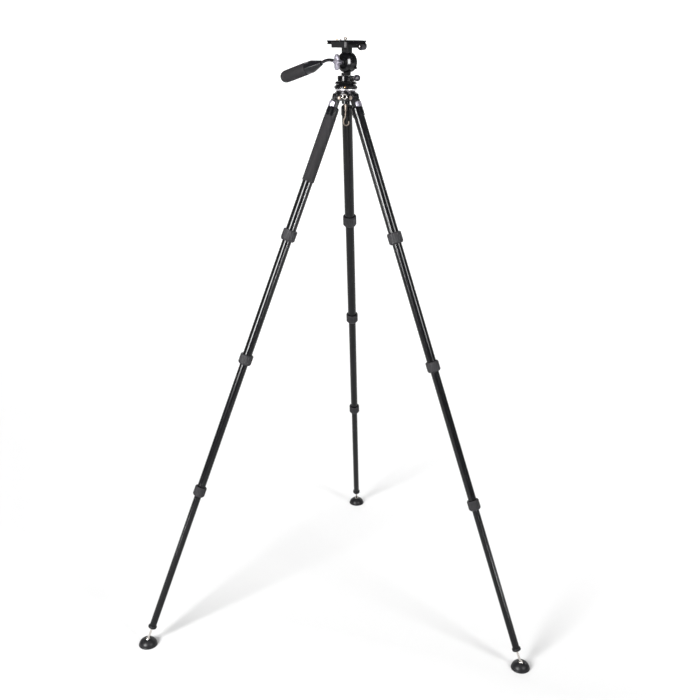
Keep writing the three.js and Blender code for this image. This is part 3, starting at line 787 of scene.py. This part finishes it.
def level_ball(at):
    """The ball with its skirt, which has a row of square notches round it."""
    ball = [(r, LEVEL_HEIGHT + h, 0) for r, h, _ in arc(20, -17.4, 53, 16)]
    notches = 12

    def notched(r, h, angle):
        if r < 26.4 or not 1529.3 < h < 1532.9:
            return r
        offset = abs((angle * notches / (2 * math.pi) + 0.5) % 1 - 0.5) * 360 / notches
        across = min(max((7.6 - offset) / 1.2, 0), 1)
        share = min(max((h - 1529.4) / 0.4, 0), max((1532.8 - h) / 0.4, 0), 1)
        return r - 1.5 * share * across

    wall = []
    for i in range(13):
        height = 1529.2 + 4.0 * i / 12
        wall.append((28.7 - 0.35 * max(0, height - 1529.2) ** 1.3 * 0.9, height, 0))
    shape = lathe([
        (0, 1511),
        *ball,
        (23.7, 1533, 0.3),
        (25.1, 1530.7, 0.3),
        (26.2, 1528.4, 0.2),
        (28.4, 1528.7, 0.4),
        *wall,
        (25.6, 1534.4, 0.5),
        (24.2, 1535.2, 0.4),
        (5.1, 1535.2, 0.2),
        (5.1, 1520, 0.2),
        (0, 1520),
    ], 0.3, 300, notched)
    make("level_ball_fine", shape, "level", RING, at, node="level_ball", sharp=38)


def level_ring(at):
    flutes = 25

    def fluted(r, h, angle):
        if r < 26.4 or not 1518.2 < h < 1523.9:
            return r
        return r - 0.6 * (0.5 - 0.5 * math.cos(flutes * angle)) ** 2

    upper = [(r, LEVEL_HEIGHT + h, 0) for r, h, _ in arc(20.4, 27.1, 14.2, 4)]
    lower = [(r, LEVEL_HEIGHT + h, 0) for r, h, _ in arc(21.6, 11.8, 1.6, 4)]
    band = [(30.2, 1518.8 + 3.2 * i / 6, 0) for i in range(7)]
    shape = lathe([
        (29.0, 1517.6, 0.2),
        (29.9, 1518.2, 0.4),
        *band,
        (29.5, 1523.8, 0.3),
        (27.0, 1524.4, 0.3),
        (26.6, 1525.6, 0.3),
        (25.9, 1527.5, 0.5),
        (20, 1527.6, 0.3),
        *upper,
        *lower,
    ], 0.3, 300, fluted)
    make("level_ring_fine", shape, "level_ring", RING, at, node="level_ring", sharp=45)
    dot = shifted(along_y(lathe([(0, -30.5), (0.9, -30.5, 0.2), (0.9, -29.2), (0, -29.2)], 0.2, 32)),
                  z=1520.6)
    make("level_index_dot", dot, "level_ring", INDEX, at)


def head_stud(at):
    shape = lathe([(0, 1521), (4.2, 1521), (4.7, 1521.6), (4.7, 1544.4), (4.2, 1545), (0, 1545)], 0.2, 48)
    make("head_stud_fine", shape, "level", STEEL, at, node="head_stud")


# ---- Fluid head ----

def pan_base(at):
    body = lathe([
        (0, 1535.5),
        (21.2, 1535.5, 0.4),
        (22, 1536.4, 0.5),
        (22, 1539.2, 0.1),
        (21.6, 1539.4, 0.1),
        (21.6, 1539.9, 0.1),
        (22, 1540.1, 0.1),
        (22, 1547.6, 0.6),
        (20.6, 1549, 0.6),
        (0, 1549),
    ], 0.3, 128)
    boss = shifted(along_x(lathe([(0, 18), (5.5, 18), (5.5, 26.6, 0.8), (0, 26.6)], 0.4, 64)),
                   z=PAN_KNOB_HEIGHT)
    hole = shifted(along_x(cylinder(2.9, 14, 28, 32)), z=PAN_KNOB_HEIGHT)
    stud_hole = cylinder(5.1, 1535, 1546, 48)
    vial_hole = shifted(cylinder(4.9, 1545.5, 1550, 48), x=-15.5)
    make("pan_base_fine", [body, boss], "pan", CAST, at, [hole, stud_hole, vial_hole], 0.25, "pan_base")
    vial = lathe([(0, 1545.8), (4.5, 1545.8), (4.5, 1548.5, 0.8), (0, 1548.9)], 0.4, 48)
    make("bubble_vial_fine", shifted(vial, x=-15.5), "pan", VIAL, at, node="bubble_vial")


def pan_knob(at):
    """A small ball-like knob on a bright shaft."""
    wall = [(8.0 - 0.022 * (h - 39.2) ** 2, h, 0) for h in (35.4, 36.6, 37.8, 39.0, 40.2, 41.4, 42.6, 43.8)]
    knob = lathe([(0, 33.1), (5.2, 33.1, 0.6), (6.6, 34.0, 1.0), *wall, (6.2, 46.2, 1.6), (4.0, 47.4, 0.8),
                  (0, 47.5)], 0.4, 96)
    at_knob = at @ Matrix.Translation((0, 0, PAN_KNOB_HEIGHT)) @ turned_to("X")
    make("pan_knob_fine", knob, "pan_knob", KNOB, at_knob, node="pan_knob", sharp=50)
    shaft = lathe([(0, 15), (2.3, 15), (2.5, 15.5), (2.5, 27.4, 0.1), (3.4, 27.6, 0.2), (3.4, 33.0),
                   (0, 33.0)], 0.2, 48)
    make("pan_knob_shaft", shaft, "pan_knob", STEEL, at_knob)


def tilt_bracket(at):
    foot = block((-10, 10), (-7, 7.5), (1549.3, 1556.3))
    web = block((-10, 10), (0.4, 7.5), (1550, TILT_HEIGHT))
    disc = shifted(along_y(lathe([(0, 0.4), (24.5, 0.4, 0.5), (24.5, 7.5, 0.5), (0, 7.5)], 0.5, 128)),
                   z=TILT_HEIGHT)
    bore = shifted(along_y(cylinder(PIN_BORE, -1, 9, 48)), z=TILT_HEIGHT)
    make("tilt_bracket_fine", [foot, web, disc], "pan", CAST, at, [bore], 0.5, "tilt_bracket")


def tilt_body(at):
    """The moving disc, dished round a central boss, with its neck, the clamp's floor and fixed jaw."""
    disc = lathe([
        (0, -11),
        (10.4, -11, 0.5),
        (11.3, -7.6, 0.6),
        (14.2, -7.6, 0.6),
        (15.4, -11, 0.6),
        (17, -11, 1.0),
        (23.6, -7.8, 0.6),
        (25, -6.6, 0.4),
        (25, 0, 0.4),
        (0, 0),
    ], 0.4, 144, steps=6)
    neck = block((-10, 10), (-7, 0), (TILT_HEIGHT, 1610))
    bridge = block((-10, 10), (-7, 11.5), (1601, CLAMP_HEIGHT + 1))
    arch = shifted(along_y(cylinder(25.4, 0, 12, 144)), z=TILT_HEIGHT)
    west, east = CLAMP_SPAN
    floor = prism([(west, 23.5, 0.6), (west, -28.5, 7), (east, -28.5, 7), (east, 23.5, 0.6)],
                  CLAMP_HEIGHT, CLAMP_HEIGHT + 14, 7, 8)
    channel = shifted(moved(prism([(24, 7.9), (24, 15), (-17.1, 15), (-17.1, 12.9), (-19.7, 10.1),
                                   (-19.7, 7.9)], -32, 32), LYING), z=CLAMP_HEIGHT)
    bore = shifted(along_y(cylinder(PIN_BORE, -8.3, 1, 48)), z=TILT_HEIGHT)
    star_hole = shifted(along_y(cylinder(3.6, -12, -8, 48)), z=TILT_HEIGHT)
    screw = shifted(along_y(cylinder(3, 11, 25, 32)), CLAMP_SCREW_X, 0, CLAMP_SCREW_HEIGHT)
    button = shifted(along_x(cylinder(2.95, 20.8, 28, 32)), 0, BUTTON_Y, BUTTON_HEIGHT)
    make("tilt_body_fine", [shifted(along_y(disc), z=TILT_HEIGHT), neck, bridge, floor], "tilt", CAST, at,
         [channel, bore, star_hole, screw, button, arch], 0.5, "tilt_body")


def tilt_lock_ring(at):
    teeth = 40

    def serrated(r, h, angle):
        if r < 23.6 or not 8.8 < h < 15.6:
            return r
        return r - 0.8 * (0.5 - 0.5 * math.cos(teeth * angle)) ** 2

    rim = [(24.5, 8.9 + 6.6 * i / 8, 0) for i in range(9)]
    disc = lathe([(4.4, 7.9, 0.1), (24.0, 7.9, 0.4), *rim, (23.4, 16.8, 0.6), (21.8, 17.5, 0.4),
                  (20.5, 16.4, 0.4), (11.5, 16.4, 0.4), (10.5, 17.5, 0.4), (4.4, 17.5, 0.2)], 0.4, 240,
                 serrated)
    tab = prism([(21.5, -3.2, 0), (28.2, -2.4, 1.2), (29, 0, 1.2), (28.2, 2.4, 1.2), (21.5, 3.2, 0)],
                11, 15, 1.0)
    make("tilt_lock_ring_fine", [disc, moved(tab, Matrix.Rotation(math.radians(32), 4, "Z"))], "tilt_lock",
         RING, at @ Matrix.Translation((0, 0, TILT_HEIGHT)) @ turned_to("Y"), (), 0, "tilt_lock_ring", 45)


def tilt_axle(at):
    axle = lathe([(0, -8), (3.6, -8), (4, -7.4), (4, 17.9, 0.1), (7, 17.9, 0.2), (7, 19.4, 0.5),
                  (6, 20.4, 0.4), (0, 20.4)], 0.3, 72)
    make("tilt_axle_fine", shifted(along_y(axle), z=TILT_HEIGHT), "pan", STEEL, at,
         [shifted(along_y(hex_prism(5, 18.4, 21)), z=TILT_HEIGHT)], 0, "tilt_axle")


def clamp_jaw(at):
    outline = [(19.7, 8.2), (19.7, 10.1), (17.1, 12.9), (17.1, 14), (28.5, 14), (28.5, 0), (24, 0), (24, 8.2)]
    jaw = shifted(moved(prism(outline, *CLAMP_SPAN), LYING), z=CLAMP_HEIGHT)
    hole = shifted(along_y(cylinder(3.1, 20, 30, 32)), CLAMP_SCREW_X, 0, CLAMP_SCREW_HEIGHT)
    make("clamp_jaw_fine", jaw, "jaw", CAST, at, [hole], 0.7, "clamp_jaw")


def clamp_knob(at):
    """A tapered knob with broad lobes."""
    lobes = 8

    def lobed(r, h, angle):
        if r < 7.6 or not 33 < h < 49:
            return r
        share = min(max((h - 33.2) / 1.6, 0), max((48.8 - h) / 1.6, 0), 1)
        return r - 1.1 * share * (0.5 - 0.5 * math.cos(lobes * angle)) ** 1.5

    heights = (34, 35.4, 36.8, 38.2, 39.6, 41, 42.4, 43.8, 45.2, 46.6)
    wall = [(10.5 - 0.006 * (h - 37) ** 2, h, 0) for h in heights]
    knob = lathe([(0, 31.7), (7.6, 31.7, 0.6), (9.6, 32.6, 0.8), *wall, (9.2, 49.0, 1.0), (7.6, 50, 0.8),
                  (0, 50)], 0.4, 160, lobed)
    place = at @ Matrix.Translation((CLAMP_SCREW_X, 0, CLAMP_SCREW_HEIGHT)) @ turned_to("Y")
    make("clamp_knob_fine", knob, "clamp_knob", KNOB, place, node="clamp_knob", sharp=50)
    shaft = lathe([(0, 12), (2.2, 12), (2.6, 12.6), (2.6, 31.6), (0, 31.6)], 0.2, 40)
    make("clamp_screw", shaft, "clamp_knob", STEEL, place)


def release_button(at):
    button = lathe([(0, 23.6), (2.6, 23.6), (2.6, 28.8, 0.7), (0, 29.5)], 0.5, 48)
    make("release_button_fine", shifted(along_x(button), 0, BUTTON_Y, BUTTON_HEIGHT), "button", STEEL, at,
         node="release_button")


def camera_plate(at):
    half = [(19.2, 0), (19.2, 1.7), (16.6, 4.5), (16.6, 6.1), (20, 6.1), (20, 9.7)]
    outline = half + [(-y, z) for y, z in reversed(half)]
    bar = shifted(moved(prism(outline, *PLATE_SPAN), LYING), z=PLATE_HEIGHT)
    top = PLATE_HEIGHT + 9.7
    hole = shifted(cylinder(5, -1, 11, 48), CAMERA_SCREW_X, 0, PLATE_HEIGHT)
    counterbore = shifted(cylinder(8.6, -1, 3.5, 64), CAMERA_SCREW_X, 0, PLATE_HEIGHT)
    pads = [(-17, -9), (6, 46)]
    pockets = [prism([(low, -14.5), (high, -14.5), (high, 14.5), (low, 14.5)], top - 0.9, top + 1, 2)
               for low, high in pads]
    cross_hole = along_y(cylinder(1.6, -22, 22, 24))
    holes = [shifted(cross_hole, x, 0, PLATE_HEIGHT + 7.9) for x in (-47, 48)]
    make("camera_plate_fine", bar, "plate", PLATE, at, [hole, counterbore, *pockets, *holes], 0.35,
         "camera_plate")
    for number, (low, high) in enumerate(pads, 1):
        inner = [(low + 0.2, -14.3), (high - 0.2, -14.3), (high - 0.2, 14.3), (low + 0.2, 14.3)]
        pad = prism(inner, top - 0.85, top + 0.35, 2)
        grooves = [block((low - 1, high + 1), (y - 0.35, y + 0.35), (top, top + 1))
                   for y in range(-12, 13, 3)]
        make(f"plate_pad_{number}", pad, "plate", INLAY, at, grooves, 0.12)
    for number, (x, material) in enumerate(((-34, GOLD), (-20, DARK_STEEL)), 1):
        pin = lathe([(0, -1), (1.6, -1), (1.6, 3.5, 0.5), (0, 4.0)], 0.3, 40)
        make(f"plate_pin_{number}", shifted(pin, x, 0, top), "plate", material, at)


def camera_screw(at):
    pitch = 1.59
    top = 1643.4

    def threaded(r, h, angle):
        if r < 4.4 or h < 1630 or h > 1642.5:
            return r
        phase = (h / pitch - angle / (2 * math.pi)) % 1
        return r - 0.7 * abs(2 * phase - 1)

    rows = 96
    thread = [(4.6, 1630 + 12.5 * i / rows, 0) for i in range(rows + 1)]
    head = lathe([(0, 1625.7), (7.6, 1625.7, 0.3), (8.1, 1626.2, 0.3), (8.1, 1628.0, 0.3), (7.7, 1628.4, 0.2),
                  (4.6, 1628.4, 0.2), *thread, (3.8, top, 0.2), (0, top)], 0.2, 64, threaded)
    slot = block((-9, 9), (-0.7, 0.7), (1625, 1627))
    place = at @ Matrix.Translation((CAMERA_SCREW_X, 0, 0))
    make("camera_screw_fine", head, "camera_screw", STEEL, place, [slot], 0, "camera_screw", 40)


def star_knob(at):
    """Four round lobes about a hub, the upright pair longer, crowned at both faces."""
    rows = 12
    low, high = -38.0, -28.5
    middle, half = (low + high) / 2, (high - low) / 2

    def lobed(r, h, angle):
        if r < 7.5:
            return r
        crown = (1 - min(1, abs(h - middle) / half) ** 3) ** 0.4
        reach = 11.6 - 4.15 * math.cos(2 * angle) + 4.1 * math.cos(4 * angle)
        return 6.8 + (reach - 6.8) * (r / 20) * (0.78 + 0.22 * crown)

    wall = [(20, low + 0.7 + (high - low - 1.4) * i / rows, 0) for i in range(rows + 1)]
    star = lathe([(0, low), (6.4, low, 0.5), (7.6, low + 0.2, 0.2), (17.6, low + 0.2, 0.6), *wall,
                  (17.6, high - 0.2, 0.6), (7.6, high - 0.2, 0.2), (7.0, -27, 0.6), (6.4, -21.0, 0.6),
                  (5.8, -20.5, 0.3), (3.2, -20.5, 0.2), (3.2, -9.4, 0.3), (0, -9.4)], 0.3, 240, lobed)
    place = at @ Matrix.Translation((0, 0, TILT_HEIGHT)) @ turned_to("Y")
    make("star_knob_fine", star, "star_knob", SILVER, place, node="star_knob", sharp=50)


def pan_bar(at):
    route = [(-6, BAR_Y, 1583), (-25, BAR_Y, 1585), (-45, BAR_Y, 1586.8), (-60, BAR_Y, 1585),
             (-72, BAR_Y, 1580.8), (-84.5, BAR_Y, 1577)]
    rod = swept(smooth_path(route, 10), 4.15, 32)
    eye = shifted(along_y(lathe([(0, -19.8), (9.5, -19.8, 0.9), (9.5, -11.45, 0.9), (0, -11.45)], 0.6, 72)),
                  z=TILT_HEIGHT)
    bore = shifted(along_y(cylinder(3.6, -22, -10, 40)), z=TILT_HEIGHT)
    make("pan_bar_fine", [eye, rod], "bar", BAR, at, [bore], 0, "pan_bar", 50)


def handle(at):
    """The ferrule and the foam grip, along the handle's own axis."""
    slope = math.radians(-105.1)
    place = at @ Matrix.Translation((-75.7, BAR_Y, 1579.2)) @ Matrix.Rotation(slope, 4, "Y")
    ferrule = lathe([
        (5.2, 0, 0.2),
        (6.4, 0, 0.6),
        (7.0, 1.6, 0.8),
        (15.4, 33.0, 3.0),
        (16.2, 37.0, 2.0),
        (16.2, 53.6, 0.5),
        (12, 53.8, 0.3),
        (12, 118, 0.5),
        (5.2, 118, 0.5),
    ], 0.5, 96, steps=6)
    make("bar_ferrule_fine", ferrule, "bar", BAR, place, node="bar_ferrule")
    grip = lathe([
        (0, 121),
        (12.3, 121, 0.2),
        (12.3, 54.4, 0.2),
        (16.0, 54.4, 0.5),
        (16.6, 55.6, 0.5),
        (16.6, 140, 6),
        (15.6, 150.5, 6),
        (10.5, 157.4, 5),
        (0, 158),
    ], 0.5, 96, steps=8)
    make("bar_grip_fine", grip, "bar", FOAM, place, node="bar_grip", sharp=50)


def fluid_head():
    at = head_frame()
    pan_base(at)
    pan_knob(at)
    tilt_bracket(at)
    tilt_body(at)
    tilt_lock_ring(at)
    tilt_axle(at)
    clamp_jaw(at)
    clamp_knob(at)
    release_button(at)
    camera_plate(at)
    camera_screw(at)
    star_knob(at)
    pan_bar(at)
    handle(at)


# ---- Stage, light and camera ----

def paper():
    """Pale studio paper. It glows where the lights don't reach, so the whole sweep is evenly white."""
    material = bpy.data.materials.new("studio_paper")
    material.use_nodes = True
    nodes, links = material.node_tree.nodes, material.node_tree.links
    shader = nodes["Principled BSDF"]
    shader.inputs["Base Color"].default_value = (0.55, 0.55, 0.55, 1)
    shader.inputs["Roughness"].default_value = 1.0
    shader.inputs["Specular IOR Level"].default_value = 0.0
    shader.inputs["Emission Color"].default_value = (1, 1, 1, 1)
    place = nodes.new("ShaderNodeTexCoord")
    parts = nodes.new("ShaderNodeSeparateXYZ")
    links.new(place.outputs["Object"], parts.inputs["Vector"])

    def worked(operation, *values):
        step = nodes.new("ShaderNodeMath")
        step.operation = operation
        for number, value in enumerate(values):
            if isinstance(value, bpy.types.NodeSocket):
                links.new(value, step.inputs[number])
            else:
                step.inputs[number].default_value = value
        return step.outputs["Value"]

    # The lights' own share falls as exp(-y / 1.9), and is larger on the key's side.
    fall = worked("EXPONENT", worked("MULTIPLY", parts.outputs["Y"], -1 / 1.9))
    slant = worked("MULTIPLY_ADD", parts.outputs["X"], 0.045, 0.083)
    share = worked("MULTIPLY_ADD", parts.outputs["X"], slant, -0.671)
    glow = worked("MAXIMUM", worked("MULTIPLY_ADD", fall, share, 0.8), 0)
    links.new(glow, shader.inputs["Emission Strength"])
    return material


def stage():
    """A pale floor that curves up into a pale backdrop."""
    half, back, radius, height, steps = 9.0, 7.0, 2.5, 7.0, 12
    profile = [(-9.0, 0.0), (back - radius, 0.0)]
    for i in range(1, steps + 1):
        angle = math.radians(90 * i / steps)
        profile.append((back - radius + radius * math.sin(angle), radius - radius * math.cos(angle)))
    profile.append((back, height))
    vertices = [(x, y, z) for y, z in profile for x in (-half, half)]
    faces = [(2 * i, 2 * i + 1, 2 * i + 3, 2 * i + 2) for i in range(len(profile) - 1)]
    mesh = bpy.data.meshes.new("studio_floor")
    mesh.from_pydata(vertices, [], faces)
    mesh.shade_smooth()
    mesh.materials.append(paper())
    floor = bpy.data.objects.new("studio_floor", mesh)
    bpy.context.scene.collection.objects.link(floor)


def soft_light(name, place, target, size, watts):
    light = bpy.data.lights.new(name, "AREA")
    light.shape = "RECTANGLE"
    light.size, light.size_y = size
    light.energy = watts
    obj = bpy.data.objects.new(name, light)
    obj.location = place
    aim = Vector(target) - Vector(place)
    obj.rotation_euler = aim.to_track_quat("-Z", "Y").to_euler()
    obj.visible_camera = False
    bpy.context.scene.collection.objects.link(obj)


def lighting():
    world = bpy.data.worlds.new("studio")
    world.use_nodes = True
    world.node_tree.nodes["Background"].inputs["Color"].default_value = (1, 1, 1, 1)
    world.node_tree.nodes["Background"].inputs["Strength"].default_value = 0.2
    bpy.context.scene.world = world
    soft_light("key_left", (-1.65, -2.75, 1.8), (0, -0.15, 1.2), (1.0, 1.4), 246)
    soft_light("fill_right", (2.3, -2.1, 2.15), (0, -0.15, 1.2), (0.8, 1.1), 79)
    soft_light("top", (0.0, -0.4, 4.2), (0, 0, 0), (3.0, 3.0), 30)
    bpy.context.scene.view_settings.view_transform = "Standard"


def camera():
    """Stands in front of the tripod, level with the head, and looks down."""
    distance, height = 2.42539, 1.60869
    pitch, yaw, roll = 0.320456, 0.007525, 0.011224
    turn = math.radians(5.1)
    axis_x, axis_y, _ = JOINTS["pan_turn"]["pos_m"]
    forward = Vector((math.sin(yaw) * math.cos(pitch), math.cos(yaw) * math.cos(pitch), -math.sin(pitch)))
    right = Vector((math.cos(yaw), -math.sin(yaw), 0))
    up = right.cross(forward)
    level_right = math.cos(roll) * right + math.sin(roll) * up
    level_up = -math.sin(roll) * right + math.cos(roll) * up
    spin = Matrix.Rotation(turn, 3, "Z")
    place = spin @ Vector((0, -distance, 0)) + Vector((axis_x, axis_y, height))
    columns = [spin @ level_right, spin @ level_up, spin @ -forward]
    rotation = Matrix(columns).transposed().to_4x4()
    data = bpy.data.cameras.new("camera")
    data.sensor_width = 36
    data.lens = 36 * 899.976 / 700
    obj = bpy.data.objects.new("camera", data)
    obj.matrix_world = Matrix.Translation(place) @ rotation
    bpy.context.scene.collection.objects.link(obj)
    bpy.context.scene.camera = obj


camera()
legs()
ground = floor_frame()
shoulder(ground)
weight_hook(ground)
level_base(ground)
level_liner(ground)
level_ball(ground)
level_ring(ground)
head_stud(ground)
fluid_head()
stage()
lighting()
